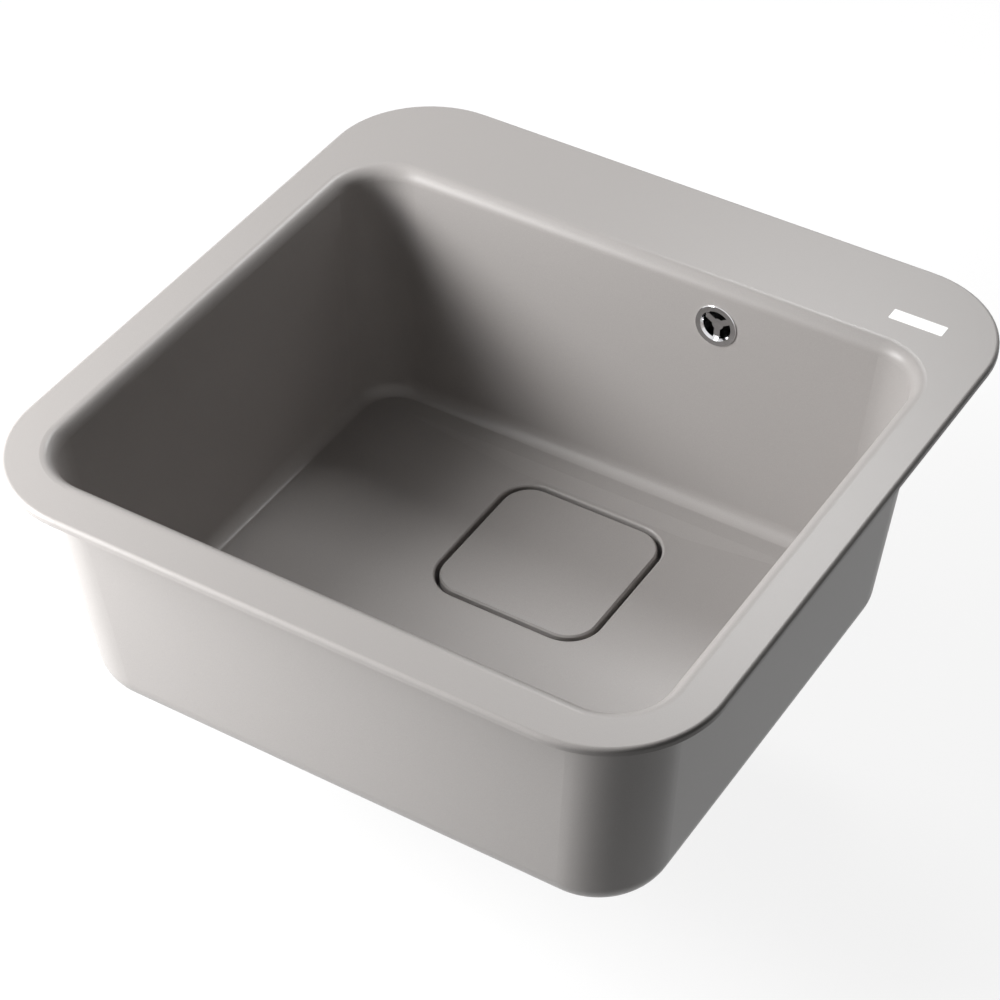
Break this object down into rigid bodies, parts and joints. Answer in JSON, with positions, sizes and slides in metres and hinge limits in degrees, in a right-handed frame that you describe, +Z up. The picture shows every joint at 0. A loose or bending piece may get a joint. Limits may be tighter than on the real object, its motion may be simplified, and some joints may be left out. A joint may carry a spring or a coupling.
{
  "type": "kitchen sink",
  "caption": "Square drop-in kitchen sink with one deep tapered bowl, a wide back ledge, a flush square drain cover, a basket waste and an overflow with its pipe.",
  "frame": {"origin": "middle of the rim's outline, in the plane of the rim's underside, which rests on the worktop", "axes": "+X to the right along the front, +Y from the front towards the tap ledge, +Z up out of the bowl"},
  "size_m": [0.5, 0.502, 0.3042],
  "materials": {
    "composite": "matt, fine grained",
    "stainless": "satin",
    "chrome": "polished",
    "brass": "turned",
    "dark_plastic": "satin moulded",
    "rubber": "matt"
  },
  "bodies": {
    "sink": {"bowl": "composite", "waste_flange": "stainless", "flange_gasket": "rubber", "body_gasket": "rubber", "waste_body": "dark_plastic", "outlet_spigot": "dark_plastic", "waste_hub": "dark_plastic", "clamp_insert": "brass", "clamp_screw": "stainless", "overflow_rosette": "chrome", "overflow_gasket": "rubber", "overflow_elbow": "dark_plastic", "overflow_pipe": "dark_plastic", "pipe_nuts": "dark_plastic", "pipe_seals": "rubber"},
    "cover": {"drain_cover": "composite", "cover_feet": "rubber"},
    "strainer": {"basket": "stainless", "basket_seal": "rubber", "basket_stem": "stainless", "seal_nut": "stainless", "basket_knob": "chrome"}
  },
  "joints": [
    {"name": "cover_lift", "type": "slide", "parent": "sink", "child": "cover", "axis": [0, 0, 1], "range_m": [0, 0.22]},
    {"name": "basket_lift", "type": "slide", "parent": "sink", "child": "strainer", "axis": [0, 0, 1], "range_m": [0, 0.007]}
  ]
}
